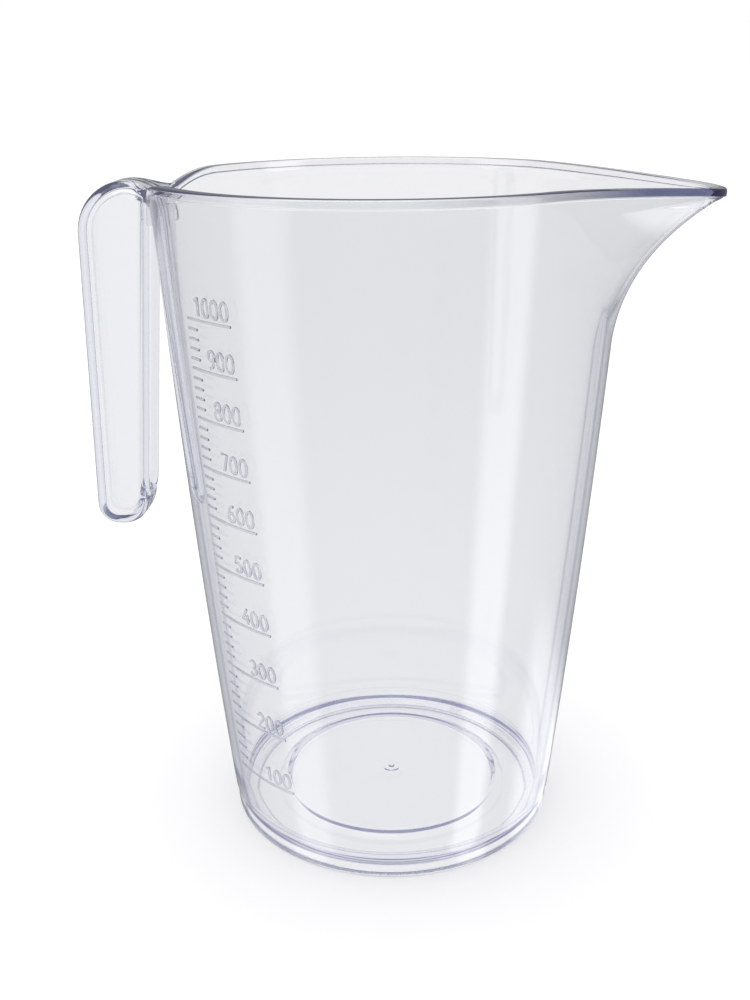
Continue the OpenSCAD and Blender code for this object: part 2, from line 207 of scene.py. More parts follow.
# Clear plastic
PLASTIC_IOR = 1.57
WALL_TINT = (0.965, 0.967, 0.969)
WALL_ROUGH = 0.01
SCALE_TINT = (0.80, 0.81, 0.84)
SCALE_ROUGH = 0.12
SHADOW_TINT = (0.80, 0.81, 0.83, 1)
RIPPLE_SCALE = 14.0
RIPPLE_DETAIL = 1.0
RIPPLE_ROUGH = 0.4
RIPPLE_STRENGTH = 0.035
RIPPLE_DEPTH = 0.002
SOAK_TINT = (0.36, 0.38, 0.58, 1)
SOAK_DENSITY = 30.0
# Painted glow: the plastic's inside glows, though it is no lamp
PAINTED_GLOW_TINT = (0.95, 0.97, 1.0, 1)
PAINTED_GLOW_STRENGTH = 3.0

# Its tint by height, with painted shade towards the rim, as shares of the jug's height, and on the handle,
# in millimetres behind the free edge, with painted shade on the lip
PAINTED_RIM_SHADE = 0.96           # share of the colour that is left at the rim
TINT_LOW = 0.3
TINT_HIGH = 0.82
# Painted shade: the lip along the handle's free edge is darkened
PAINTED_LIP_SHADE = (0.84, 0.85, 0.88)
LIP_START = -0.5
LIP_FULL = 0.0
CHEEK_TINT = (0.986, 0.988, 0.991)
CHEEK_START = 1.8
CHEEK_FULL = 3.0

# Painted shade by how far the surface turns away, which draws dark lines along its edges, and painted shade
# on the bead round the spout
PAINTED_EDGE_SHADE = (
    (0.66, (1, 1, 1)),
    (0.73, (0.88, 0.885, 0.91)),
    (0.757, (0.42, 0.43, 0.50)),
    (0.775, (0.42, 0.43, 0.50)),
    (0.80, (0.82, 0.825, 0.86)),
    (0.90, (0.82, 0.825, 0.86)),
    (0.97, (0.34, 0.36, 0.48))
)
# Painted shade: a near black navy on the bead's outer face round the spout
PAINTED_BEAD_SHADE = (0.03, 0.035, 0.11)
BEAD_BAND = 0.5           # height over which the tint comes in, above the bead's foot
BEAD_GROWN = 60.0         # distance along X over which it grows
TURNED_OUT = 0.012        # outward part of the normal times the distance from the axis, in metres
FACING_OUT = 0.035

# Painted glow that stands in for light that has bounced about inside for long, with painted shade by the
# share of the jug's height
PAINTED_DEEP_GLOW = (
    (0.06, (0.32, 0.33, 0.50)),
    (0.16, (0.20, 0.21, 0.33)),
    (0.48, (0.34, 0.36, 0.48)),
    (0.72, (0.15, 0.16, 0.26)),
    (0.95, (0.035, 0.04, 0.11))
)
LONG_GLOSSY = 3.5         # bounces
LONG_PATH = 9.5

# Camera, fitted to the photograph's rim, foot and wall outlines: its place, and its right and forward ways
SENSOR = 36
LENS = 41.93
CAMERA_PLACE = (15.59, -288.34, 194.55)
CAMERA_RIGHT = (0.9979, 0.0645, -0.0090)
CAMERA_AHEAD = (-0.0636, 0.9346, -0.3499)

# Table, in metres
TABLE_SIDE = 60
TABLE_TINT = (0.9, 0.9, 0.9, 1)
TABLE_GLOW = 0.18
TABLE_SEEN_THROUGH = 0.98
WHITE = (1, 1, 1, 1)

# Studio. An upright soft box has its bearing, half width and soft edge in degrees, and its strength.
STUDIO_TINT = (0.92, 0.93, 0.95, 1)
STUDIO_DIM = 0.3
RIGHT_BOX = (-27, 6, 10, 2.3)
LEFT_BOX = (-149, 8, 12, 1.35)
REAR_BOX = (42, 22, 16, 1.4)
REAR_BOX_FALL = (-0.48, -0.57)      # how steeply a way has to point down before this box shows, from and to
TOP_BOX_RISE = (0.78, 0.92)         # how steeply it has to point up before the box above shows, from and to
TOP_BOX = 1.8

# Lamp above the jug, in metres and watts
LAMP_PLACE = (-0.3, -0.3, 1.3)
LAMP_SIZE = (1.0, 1.0)
LAMP_POWER = 1.5


def wall_r(z):
    s = z / JUG_H
    return FOOT_R + (RIM_R - FOOT_R) * s + 4 * WALL_BOW * s * (1 - s)


# Distance from the axis of the handle's free edges, at the root and at the toe, and how it grows downwards
EDGE_TOP = wall_r(ROOT_LOW_Z) + GAP_TOP
EDGE_LOW = EDGE_TOP + EDGE_LEAN * (ROOT_LOW_Z - TOE_Z) / HANDLE_H
EDGE_SLOPE = (EDGE_LOW - EDGE_TOP) / (ROOT_LOW_Z - TOE_Z)


def eased(t):
    """A share from 0 to 1 with a gentle start and end."""
    return t ** 2 * (3 - 2 * t)


def drawn_r(az, big, small, centre):
    """Plan radius at an azimuth of a circle drawn out to a smaller circle on +X."""
    t = np.abs(az)
    ratio = np.clip((big - small) / np.maximum(centre, TINY), -1, 1)
    # The straight flank leaves the big circle and touches the small one at these azimuths
    leave = np.arccos(ratio)
    touch = np.arctan2(small * np.sin(leave), centre + small * np.cos(leave))
    line = big / np.cos(np.clip(t - leave, -STEEP, STEEP))
    under = np.maximum(small ** 2 - (centre * np.sin(t)) ** 2, 0)
    tip = centre * np.cos(t) + np.sqrt(under)
    r = np.where(t >= leave, big, np.where(t >= touch, line, tip))
    return np.where(centre <= big - small, big, r)


def spout_plan(z):
    """The wall's outer plan at a height: its big radius, the spout's small radius and its circle's centre,
    and how steeply the spout swells there."""
    s = np.clip((z - SPOUT_Z) / (TIP_Z - SPOUT_Z), 0, 1)
    r = wall_r(z)
    full = SPOUT_REACH - wall_r(TIP_Z)
    swell = full * (SWELL_SHARE * s ** 2 + (1 - SWELL_SHARE) * s ** 4)
    slope = full * (2 * SWELL_SHARE * s + 4 * (1 - SWELL_SHARE) * s ** 3) / (TIP_Z - SPOUT_Z)
    small = SPOUT_TIP_R + (r - SPOUT_TIP_R) * (1 - s) ** NARROW_POWER
    return r, small, r + swell - small, slope


def outer_r(az, z):
    r, small, centre, _ = spout_plan(z)
    return drawn_r(az, r, small, centre)


def inner_r(az, z):
    r, small, centre, slope = spout_plan(z)
    extra = SLOPE_SHARE * WALL_T * (np.sqrt(1 + slope ** 2) - 1)
    return drawn_r(az, r - WALL_T, small - WALL_T, centre - extra)


def rim_top(az):
    """Height of the rim's top: it falls to the spout's tip and dips behind the handle."""
    x = outer_r(az, np.full_like(az, TIP_Z)) * np.cos(az)
    x0 = wall_r(TIP_Z) * math.cos(SPOUT_HALF)
    fall = SPOUT_DROP * np.clip((x - x0) / (SPOUT_REACH - x0), 0, 1) ** LIP_POWER
    back = (math.pi - np.abs(az)) / SADDLE_HALF
    dip = SADDLE_DROP * np.where(back < 1, (1 + np.cos(math.pi * np.clip(back, 0, 1))) / 2, 0)
    return JUG_H - fall - dip


def behind_handle(az):
    """Share that is 1 in the middle of the saddle and 0 past the root's flare."""
    return 1 - eased(np.clip((math.pi - np.abs(az)) / FLARE_HALF, 0, 1))


def rounded(points, steps=6):
    """Polyline with its corners rounded: each point is (r, z, radius)."""
    out = []
    for i, (x, y, rad) in enumerate(points):
        p = np.array((x, y))
        if rad == 0 or i in (0, len(points) - 1):
            out.append(p)
            continue
        a = np.array(points[i - 1][:2]) - p
        b = np.array(points[i + 1][:2]) - p
        la, lb = np.linalg.norm(a), np.linalg.norm(b)
        a, b = a / la, b / lb
        half = math.acos(np.clip(a @ b, -1, 1)) / 2
        cut = min(rad / math.tan(half), CORNER_SHARE * la, CORNER_SHARE * lb)
        rad = cut * math.tan(half)
        mid = p + (a + b) / np.linalg.norm(a + b) * rad / math.sin(half)
        u, v = p + a * cut - mid, p + b * cut - mid
        turn = math.atan2(u[0] * v[1] - u[1] * v[0], u @ v)
        for k in range(steps + 1):
            t = turn * k / steps
            c, s = math.cos(t), math.sin(t)
            out.append(mid + (c * u[0] - s * u[1], s * u[0] + c * u[1]))
    return out


def arc(mid, r, a0, a1, steps=16):
    """Points round a centre from one angle to another, in degrees."""
    a = np.radians(np.linspace(a0, a1, steps + 1))
    return np.stack([mid[0] + r * np.cos(a), mid[1] + r * np.sin(a)], -1)


def wrapped(az):
    return (az + math.pi) % (2 * math.pi) - math.pi


def azimuths():
    """Columns round the jug, closer together on the spout's tip."""
    tip = np.arange(-TIP_HALF, TIP_HALF, TIP_STEP)
    side = np.arange(TIP_HALF, 360 - TIP_HALF, SIDE_STEP)
    return wrapped(np.radians(np.concatenate([tip, side])))


def mesh_object(name, verts, faces):
    mesh = bpy.data.meshes.new(name)
    mesh.from_pydata([tuple(v) for v in np.asarray(verts) * MM], [], faces)
    mesh.validate()
    obj = bpy.data.objects.new(name, mesh)
    bpy.context.scene.collection.objects.link(obj)
    return obj


def tidy(obj, sharp=None):
    """Merge, face outward and shade smooth, with edges sharper than an angle kept."""
    bm = bmesh.new()
    bm.from_mesh(obj.data)
    bmesh.ops.remove_doubles(bm, verts=bm.verts, dist=MERGE)
    bmesh.ops.recalc_face_normals(bm, faces=bm.faces)
    for f in bm.faces:
        f.smooth = True
    if sharp is not None:
        for e in bm.edges:
            if len(e.link_faces) == 2:
                e.smooth = e.calc_face_angle(0.0) < math.radians(sharp)
    bm.to_mesh(obj.data)
    bm.free()
    return obj


def ring_faces(m, n):
    """Faces between m closed rings of n points."""
    faces = []
    for i in range(m - 1):
        for j in range(n):
            k = (j + 1) % n
            faces.append((i * n + j, (i + 1) * n + j, (i + 1) * n + k, i * n + k))
    return faces


def tube(name, rings):
    """Closed surface through rings of points, with a flat face at each end."""
    m, n = len(rings), len(rings[0])
    ends = [tuple(range(n)), tuple(range((m - 1) * n, m * n))[::-1]]
    return mesh_object(name, np.concatenate(rings), ends + ring_faces(m, n))


def lathe(name, rows, az):
    """Closed surface from rows of (radius, height) over azimuths. Its end rows are points on the axis."""
    verts = []
    for r, z in rows[1:-1]:
        r = np.broadcast_to(r, az.shape)
        z = np.broadcast_to(z, az.shape)
        verts.append(np.stack([r * np.cos(az), r * np.sin(az), z], -1))
    n = len(az)
    m = len(verts)
    poles = [[0, 0, rows[0][1]], [0, 0, rows[-1][1]]]
    verts = np.concatenate(verts + [np.array(poles)])
    faces = [(a, d, c, b) for a, b, c, d in ring_faces(m, n)]
    for j in range(n):
        k = (j + 1) % n
        faces.append((n * m, k, j))
        faces.append((n * m + 1, (m - 1) * n + j, (m - 1) * n + k))
    return mesh_object(name, verts, faces)


def foot_rows():
    """From the middle of the underside, over its step and channel, round the foot to the wall."""
    foot_wall = wall_r(FOOT_H)
    start = FOOT_H + WALL_START
    return rounded([
        (0, UNDER_H + STEP_H, 0),
        (DISC_R, UNDER_H + STEP_H, UNDER_STEP_ROUND),
        (STEP_R, UNDER_H, UNDER_STEP_ROUND),
        (CHANNEL_R, UNDER_H, CHANNEL_ROUND),
        (CHANNEL_R + CHANNEL_DRAFT, 0, FOOT_IN_ROUND),
        (FOOT_R, 0, FOOT_ROUND),
        (foot_wall - LEDGE_IN, FOOT_H - LEDGE_DROP, LEDGE_ROUND),
        (foot_wall, FOOT_H + LEDGE_RISE, WALL_FOOT_ROUND),
        (wall_r(start), start, 0)
    ])


def outside_rows(az, low):
    """Up the outside, from the foot to just under the bead."""
    rows = [(wall_r(z), z) for z in np.linspace(FOOT_H + WALL_START, SPOUT_Z, WALL_ROWS)[1:]]
    for t in np.linspace(0, 1, SPOUT_ROWS)[1:-1]:
        z = SPOUT_Z + (low - UNDER_BEAD_OUT - SPOUT_Z) * t
        rise = np.clip((z - FLARE_LOW_Z) / (JUG_H - FLARE_LOW_Z), 0, 1)
        rows.append((outer_r(az, z) + FLARE_SWELL * behind_handle(az) * rise ** 2, z))
    return rows


def rim_rows(az, low):
    """Round the bead and over the rim. The bead's outline is in shares of its reach outside the wall's face,
    and in millimetres inside it."""
    rows = []
    proud = BEAD_OUT * (1 - BEAD_SINK_SHARE * behind_handle(az))
    bead = rounded([
        (0, -GUIDE, 0),
        (0, 0.0, BEAD_FOOT_ROUND),
        (1, BEAD_RISE, BEAD_EDGE_ROUND),
        (1, BEAD_H, BEAD_TOP_ROUND),
        (-GUIDE, BEAD_H, 0)
    ], BEAD_STEPS)
    for e, dz in bead[1:-1]:
        rows.append((outer_r(az, low) + proud * np.clip(e, 0, 1) + min(e, 0), low + dz))
    mouth = rounded([(-GUIDE, BEAD_H, 0), (0, BEAD_H, MOUTH_ROUND), (0, -GUIDE, 0)], BEAD_STEPS)
    for e, dz in mouth[1:-1]:
        rows.append((inner_r(az, low) - e, low + dz))
    return rows


def inside_rows(az, low):
    """Down the inside, from the rim to the floor's fillet."""
    rows = []
    for t in np.linspace(1, 0, SPOUT_ROWS)[1:]:
        z = SPOUT_Z + (low - UNDER_BEAD_IN - SPOUT_Z) * t
        rows.append((inner_r(az, z), z))
    return rows + [(wall_r(z) - WALL_T, z) for z in np.linspace(SPOUT_Z, FILLET_TOP, WALL_ROWS)[1:]]


def floor_rows():
    """From the fillet over the step, the rib and the disc to the middle of the gate mark."""
    floor_z = UNDER_H + FLOOR_T
    disc_z = floor_z + STEP_H
    outline = rounded([
        (wall_r(FILLET_TOP) - WALL_T, FILLET_TOP, 0),
        (wall_r(FOOT_H) - WALL_T, floor_z, FLOOR_FILLET),
        (STEP_R + SLOPE_OUT, floor_z, SLOPE_LOW_ROUND),
        (STEP_R - SLOPE_IN, disc_z + RIB_H, SLOPE_TOP_ROUND),
        (DISC_R + RIB_OUT, disc_z + RIB_H, RIB_OUT_ROUND),
        (DISC_R - RIB_IN, disc_z, RIB_IN_ROUND),
        (GATE_R, disc_z, PAD_LOW_ROUND),
        (GATE_R - PAD_SLOPE, disc_z + PAD_H, PAD_TOP_ROUND),
        (NUB_R, disc_z + PAD_H, NUB_LOW_ROUND),
        (NUB_TOP_R, disc_z + GATE_H, NUB_TOP_ROUND),
        (0, disc_z + GATE_H, 0)
    ])
    return outline[1:]


def body(name):
    """The jug without its handle, as rows round the axis from the underside over the rim to the floor."""
    az = azimuths()
    low = rim_top(az) - BEAD_H
    rows = foot_rows() + outside_rows(az, low) + rim_rows(az, low) + inside_rows(az, low) + floor_rows()
    return lathe(name, rows, az)


def pillow(name, outline, width, edge, steps=6):
    """A plate across Y with rounded sides. outline(inset) is its side outline, drawn in by an inset."""
    rings = []
    for k in range(steps + 1):
        a = math.pi / 2 * k / steps
        rings.append((edge * (1 - math.sin(a)), -width / 2 + edge * (1 - math.cos(a))))
    rings += [(d, -y) for d, y in reversed(rings)]
    verts = []
    for inset, y in rings:
        p = outline(inset)
        verts.append(np.stack([-p[:, 0], np.full(len(p), y), p[:, 1]], -1))
    return tube(name, verts)


# Centres of the handle's bends, as distances out from the axis and heights
CROWN = (HANDLE_REACH - CROWN_R, CROWN_Z - CROWN_R)
HEEL = (HANDLE_REACH + HANDLE_LEAN - HEEL_R, HEEL_Z + HEEL_R)
TOE = (EDGE_LOW + TOE_R, TOE_Z)


def roof(end, top, slope, drop):
    """The handle's top from its crown to an end towards the axis, falling evenly and with the saddle."""
    u = np.linspace(1, 0, ROOF_STEPS + 1)[1:]
    return np.stack([end + (CROWN[0] - end) * u, top - slope * (1 - u) - drop * (1 - u) ** 2], -1)


def handle_outline(inset):
    """Side outline of the handle as distances out from the axis and heights, drawn in by an inset.
    The free edges towards the jug are drawn in much less than the back, so they stay crisp."""
    low = ROOT_LOW_Z + EDGE_SHARE * inset
    turn = np.linspace(0, 1, TOE_STEPS + 1)
    share = EDGE_SHARE + (1 - EDGE_SHARE) * eased(turn)
    a = np.radians(180 + 90 * turn)
    r = TOE_R - inset * share - EDGE_BACK * eased(np.clip(1 - turn / BACK_FADE, 0, 1))
    toe = np.stack([TOE[0] + r * np.cos(a), TOE[1] + r * np.sin(a)], -1)
    return np.concatenate([
        arc(CROWN, CROWN_R - inset, 0, 90),
        roof(PLATE_END, CROWN_Z - inset, ROOF_FALL, CROWN_Z - JUG_H + SADDLE_DROP),
        [[PLATE_END, low], [EDGE_TOP + EDGE_BACK + EDGE_SHARE * inset, low]],
        toe,
        arc(HEEL, HEEL_R - inset, 270, 360)
    ])


def hollow_outline(inset):
    """Side outline of the hollow inside the handle, open towards the jug."""
    t = HANDLE_T + inset
    lip = arc((EDGE_LOW + HANDLE_T - LIP_ROUND, TOE_Z - LIP_ROUND), LIP_ROUND, 90, 0, LIP_STEPS) + (inset, 0)
    return np.concatenate([
        arc(CROWN, CROWN_R - t, 0, 90),
        roof(HOLLOW_END, CROWN_Z - t, 0, CROWN_Z - JUG_H + SADDLE_DROP + BEAD_H),
        [[HOLLOW_END, TOE_Z]],
        lip,
        arc(TOE, TOE_R - t, HOLLOW_TOE_START, 270),
        arc(HEEL, HEEL_R - t, 270, 360)
    ])


def flare(name):
    """The root that spreads from the handle's crown to the wall, in a fillet on each side of the handle."""
    half = HANDLE_W / 2 - CHEEK_SKIN
    wall = wall_r(FLARE_WALL_Z)
    mid_x = -math.sqrt((wall + FILLET_R) ** 2 - (half + FILLET_R) ** 2)
    crest = CROWN_Z - CREST_SKIN
    root_low = ROOT_LOW_Z + LOW_SKIN
    first = FLARE_IN - wall
    last = CROWN_R - HANDLE_REACH - FLARE_PAST
    s = np.sin(np.linspace(-1, 1, FLARE_COLUMNS) * math.pi / 2)
    rings = []
    for v in np.linspace(0, 1, FLARE_ROWS):
        x = first + (last - first) * v
        off = np.clip(x - mid_x, 0, FILLET_SHARE * FILLET_R)
        wide = half + FILLET_R - math.sqrt(FILLET_R ** 2 - off ** 2)
        y = s * wide
        wall_top = rim_top(wrapped(np.arctan2(y, x))) - RIM_SKIN
        edge = EDGE_ROUND * v + START_ROUND * (1 - v)
        e = np.clip((np.abs(y) - wide + edge) / edge, 0, 1)
        top = crest - (crest - wall_top) * (1 - v) ** 2 - edge * (1 - np.sqrt(1 - e ** 2))
        low = root_low + (wall_top - FLARE_DEEP - root_low) * np.abs(s) ** LOW_POWER
        low = low + (crest - EDGE_ROUND - END_DEEP - low) * v ** RISE_POWER
        across = np.full_like(y, x)
        rings.append(np.concatenate([np.stack([across, y, top], -1), np.stack([across, y, low], -1)[::-1]]))
    m, n = len(rings), len(rings[0])
    faces = []
    for j in range(n // 2 - 1):
        cap = (j, j + 1, n - 2 - j, n - 1 - j)
        faces += [cap, tuple((m - 1) * n + k for k in reversed(cap))]
    return mesh_object(name, np.concatenate(rings), faces + ring_faces(m, n))


def mouth_lip(name):
    """Rounded lip along the handle's free edges and round the foot of its mouth, as one U."""
    r = HANDLE_W / 2 + BAR_OUT - BAR_WIDE
    foot = TOE_Z + r
    turn = np.linspace(0, math.pi, BAR_SIDES + 1)
    up = np.linspace(foot, ROOT_LOW_Z + BAR_RISE, BAR_ROWS)[1:]
    side = np.full(len(up), r)
    y = np.concatenate([side, r * np.cos(turn), -side])
    z = np.concatenate([up[::-1], foot - r * np.sin(turn), up])
    x = -(EDGE_LOW - EDGE_SLOPE * (z - TOE_Z) + BAR_DEEP)
    path = np.stack([x, y, z], -1)
    way = np.gradient(path, axis=0)
    out = np.array((1.0, 0, -EDGE_SLOPE))
    out /= np.linalg.norm(out)
    across = np.cross(way, out)
    across /= np.linalg.norm(across, axis=1)[:, None]
    a = np.linspace(0, 2 * math.pi, BAR_SIDES + 1)[:-1, None]
    rings = [p + BAR_DEEP * np.cos(a) * out + BAR_WIDE * np.sin(a) * b for p, b in zip(path, across)]
    return tube(name, rings)


def boolean(obj, other, operation):
    """Join another object to this one, or cut it away, and delete it."""
    mod = obj.modifiers.new("cut", "BOOLEAN")
    mod.operation = operation
    mod.solver = "EXACT"
    mod.object = other
    deps = bpy.context.evaluated_depsgraph_get()
    deps.update()
    mesh = bpy.data.meshes.new_from_object(obj.evaluated_get(deps))
    obj.modifiers.clear()
    obj.data = mesh
    bpy.data.objects.remove(other)
    return obj


def moulding():
    """The whole jug but its scale, as one seamless surface."""
    shell = tidy(body("jug_moulding"))
    handle = tidy(pillow("handle", handle_outline, HANDLE_W, EDGE_ROUND, PLATE_STEPS))
    handle = boolean(handle, tidy(flare("flare")), "UNION")
    hollow = tidy(pillow("hollow", hollow_outline, HANDLE_W - 2 * HANDLE_T, HOLLOW_ROUND))
    handle = boolean(handle, hollow, "DIFFERENCE")
    handle = boolean(handle, tidy(mouth_lip("lip")), "UNION")
    return tidy(boolean(shell, handle, "UNION"), SHARP)


def fresh_tree(owner):
    """Empty node tree of a material or world."""
    owner.use_nodes = True
    owner.node_tree.nodes.clear()
    return owner.node_tree


def node(tree, kind, **inputs):
    """A new node with the values of its inputs, by name."""
    n = tree.nodes.new(kind)
    for k, v in inputs.items():
        n.inputs[k].default_value = v
    return n


def calc(tree, operation, *values):
    """What a math node works out. Each value is a socket or a number."""
    n = tree.nodes.new("ShaderNodeMath")
    n.operation = operation
    for k, v in enumerate(values):
        if isinstance(v, (int, float)):
            n.inputs[k].default_value = v
        else:
            tree.links.new(v, n.inputs[k])
    return n.outputs[0]


def split(tree, place):
    """A place's X, Y and Z, as the outputs of one node."""
    n = tree.nodes.new("ShaderNodeSeparateXYZ")
    tree.links.new(place, n.inputs[0])
    return n.outputs


def smooth(tree, value, low, high):
    """0 at low, 1 at high, with an even turn between and no change beyond."""
    n = tree.nodes.new("ShaderNodeMapRange")
    n.interpolation_type = "SMOOTHSTEP"
    n.inputs["From Min"].default_value = low
    n.inputs["From Max"].default_value = high
    tree.links.new(value, n.inputs["Value"])
    return n.outputs["Result"]


def ramp(tree, share, *stops):
    """Colour that goes from stop to stop of (share, colour)."""
    n = tree.nodes.new("ShaderNodeValToRGB")
    tree.links.new(share, n.inputs["Fac"])
    points = n.color_ramp.elements
    while len(points) < len(stops):
        points.new(1.0)
    for point, (place, colour) in zip(points, stops):
        point.position = place
        point.color = (*colour, 1)
    return n.outputs["Color"]


def blend(tree, way, share, first, second):
    """Two colours mixed or multiplied. Each of the three values is a socket or plain."""
    n = tree.nodes.new("ShaderNodeMix")
    n.data_type = "RGBA"
    n.blend_type = way
    # The node's colours are its inputs 6 and 7, and its output 2
    for k, value in ((0, share), (6, first), (7, second)):
        if isinstance(value, tuple):
            n.inputs[k].default_value = (*value, 1)
        elif isinstance(value, float):
            n.inputs[k].default_value = value
        else:
            tree.links.new(value, n.inputs[k])
    return n.outputs[2]


def mixed(tree, share, first, second):
    """The first shader where a share is 0 and the second where it is 1."""
    n = tree.nodes.new("ShaderNodeMixShader")
    tree.links.new(share, n.inputs["Fac"])
    tree.links.new(first.outputs[0], n.inputs[1])
    tree.links.new(second.outputs[0], n.inputs[2])
    return n


def added(tree, first, second):
    """Two shaders added up."""
    n = tree.nodes.new("ShaderNodeAddShader")
    tree.links.new(first.outputs[0], n.inputs[0])
    tree.links.new(second.outputs[0], n.inputs[1])
    return n


def spout_bead_shade(tree, place):
    """Share that is 1 on the outer face of the rim's bead round the spout, where painted shade darkens the
    bead to a near black navy, and 0 elsewhere."""
    at = split(tree, place)
    start = wall_r(TIP_Z) * math.cos(SPOUT_HALF) * MM
    along = calc(tree, "DIVIDE", calc(tree, "SUBTRACT", at["X"], start), SPOUT_REACH * MM - start)
    along = calc(tree, "MINIMUM", calc(tree, "MAXIMUM", along, 0.0), 1.0)
    fall = calc(tree, "MULTIPLY", calc(tree, "POWER", along, LIP_POWER), SPOUT_DROP * MM)
    above = calc(tree, "ADD", calc(tree, "SUBTRACT", at["Z"], (JUG_H - BEAD_H) * MM), fall)
    level = tree.nodes.new("ShaderNodeVectorMath")
    level.operation = "MULTIPLY"
    level.inputs[1].default_value = (1, 1, 0)
    tree.links.new(place, level.inputs[0])
    face = tree.nodes.new("ShaderNodeNewGeometry")
    out = tree.nodes.new("ShaderNodeVectorMath")
    out.operation = "DOT_PRODUCT"
    tree.links.new(level.outputs[0], out.inputs[0])
    tree.links.new(face.outputs["Normal"], out.inputs[1])
    outward = smooth(tree, out.outputs["Value"], TURNED_OUT, FACING_OUT)
    band = smooth(tree, above, 0.0, BEAD_BAND * MM)
    grown = smooth(tree, at["X"], 0.0, BEAD_GROWN * MM)
    share = calc(tree, "MULTIPLY", calc(tree, "MULTIPLY", outward, band), grown)
    return calc(tree, "MULTIPLY", share, calc(tree, "SUBTRACT", 1.0, face.outputs["Backfacing"]))


def handle_tint_and_shade(tree, at, tint):
    """The handle's cheeks are thinner than the wall, so they are paler, and painted shade darkens the lip
    along its free edge."""
    lean = calc(tree, "MULTIPLY", calc(tree, "SUBTRACT", ROOT_LOW_Z * MM, at["Z"]), EDGE_SLOPE)
    edge = calc(tree, "ADD", lean, EDGE_TOP * MM)
    behind = calc(tree, "SUBTRACT", calc(tree, "MULTIPLY", at["X"], -1), edge)
    lip = smooth(tree, behind, LIP_START * MM, LIP_FULL * MM)
    cheek = smooth(tree, behind, CHEEK_START * MM, CHEEK_FULL * MM)
    # Painted shade on the lip, mixed over the plain tint
    return blend(tree, "MIX", cheek, blend(tree, "MIX", lip, tint, PAINTED_LIP_SHADE), CHEEK_TINT)


def plastic_tint_and_shade(tree, place, share, colour, inner):
    """The plastic's colour, with painted shade: a little deeper towards the rim, where the wall stands
    further from the table, and darker edge on, with a fine painted dark line where the wall's inner face
    turns away."""
    # Painted shade: the colour darkens towards the rim
    tint = ramp(tree, share, (TINT_LOW, colour), (TINT_HIGH, tuple(PAINTED_RIM_SHADE * c for c in colour)))
    tint = handle_tint_and_shade(tree, split(tree, place), tint)
    turned = tree.nodes.new("ShaderNodeLayerWeight")
    # Painted shade: darker where the surface is seen edge on, drawing dark lines at the edges
    tint = blend(tree, "MULTIPLY", 1.0, tint, ramp(tree, turned.outputs["Facing"], *PAINTED_EDGE_SHADE))
    if inner:
        # Painted shade on the bead round the spout
        tint = blend(tree, "MIX", spout_bead_shade(tree, place), tint, PAINTED_BEAD_SHADE)
    return tint


def ripple(tree, place):
    """Normal of the faint flow ripple in the skin."""
    noise = node(tree, "ShaderNodeTexNoise", Scale=RIPPLE_SCALE, Detail=RIPPLE_DETAIL)
    noise.inputs["Roughness"].default_value = RIPPLE_ROUGH
    bump = node(tree, "ShaderNodeBump", Strength=RIPPLE_STRENGTH, Distance=RIPPLE_DEPTH)
    tree.links.new(place, noise.inputs["Vector"])
    tree.links.new(noise.outputs["Fac"], bump.inputs["Height"])
    return bump.outputs["Normal"]


def clear_plastic(name, colour, rough, inner=True):
    """Clear moulded plastic: a faint flow ripple in its skin, a cool tint that deepens with the path inside,
    and a painted glow inside the plastic and on long paths, so that long paths end in violet grey and not
    in black. The scale has no inside of its own, so inner is off there."""
    mat = bpy.data.materials.new(name)
    t = fresh_tree(mat)
    out = t.nodes.new("ShaderNodeOutputMaterial")
    place = t.nodes.new("ShaderNodeTexCoord").outputs["Object"]
    path = t.nodes.new("ShaderNodeLightPath").outputs
    share = calc(t, "DIVIDE", split(t, place)["Z"], JUG_H * MM)
    plastic = node(t, "ShaderNodeBsdfPrincipled", Roughness=rough, IOR=PLASTIC_IOR)
    plastic.inputs["Transmission Weight"].default_value = 1.0
    t.links.new(ripple(t, place), plastic.inputs["Normal"])
    t.links.new(plastic_tint_and_shade(t, place, share, colour, inner), plastic.inputs["Base Color"])
    # Where a path has bounced about inside for long, a painted glow stands in for its light: violet grey in
    #     the foot and navy in the rim, where the renderer would cut it to black
    painted_deep_glow = node(t, "ShaderNodeEmission", Strength=1.0)
    t.links.new(ramp(t, share, *PAINTED_DEEP_GLOW), painted_deep_glow.inputs["Color"])
    glossy = calc(t, "GREATER_THAN", path["Glossy Depth"], LONG_GLOSSY)
    long_way = calc(t, "MAXIMUM", glossy, calc(t, "GREATER_THAN", path["Ray Depth"], LONG_PATH))
    deep = mixed(t, long_way, plastic, painted_deep_glow)
    shadow = node(t, "ShaderNodeBsdfTransparent", Color=SHADOW_TINT)
    surface = mixed(t, path["Is Shadow Ray"], deep, shadow)
    t.links.new(surface.outputs[0], out.inputs["Surface"])
    if inner:
        soak = node(t, "ShaderNodeVolumeAbsorption", Color=SOAK_TINT, Density=SOAK_DENSITY)
        # The volume's emission is a painted glow
        glow = node(t, "ShaderNodeEmission", Color=PAINTED_GLOW_TINT, Strength=PAINTED_GLOW_STRENGTH)
        t.links.new(added(t, soak, glow).outputs[0], out.inputs["Volume"])
    return mat


SCALE_NODES = ("scale_lines", "scale_ticks", "scale_figures")


def jug():
    """One seamless moulding in place of every node but the scale's, which keep their CAD meshes."""
    clear = clear_plastic("clear_plastic", WALL_TINT, WALL_ROUGH)
    relief = clear_plastic("scale_plastic", SCALE_TINT, SCALE_ROUGH, False)
    piece = moulding()
    piece.data.materials.clear()
    piece.data.materials.append(clear)
    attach(piece, "root")
    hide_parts(*[n for n in frame["nodes"] if n not in SCALE_NODES])
    for n in SCALE_NODES:
        part = frame["nodes"][n]
        part.data.materials.clear()
        part.data.materials.append(relief)


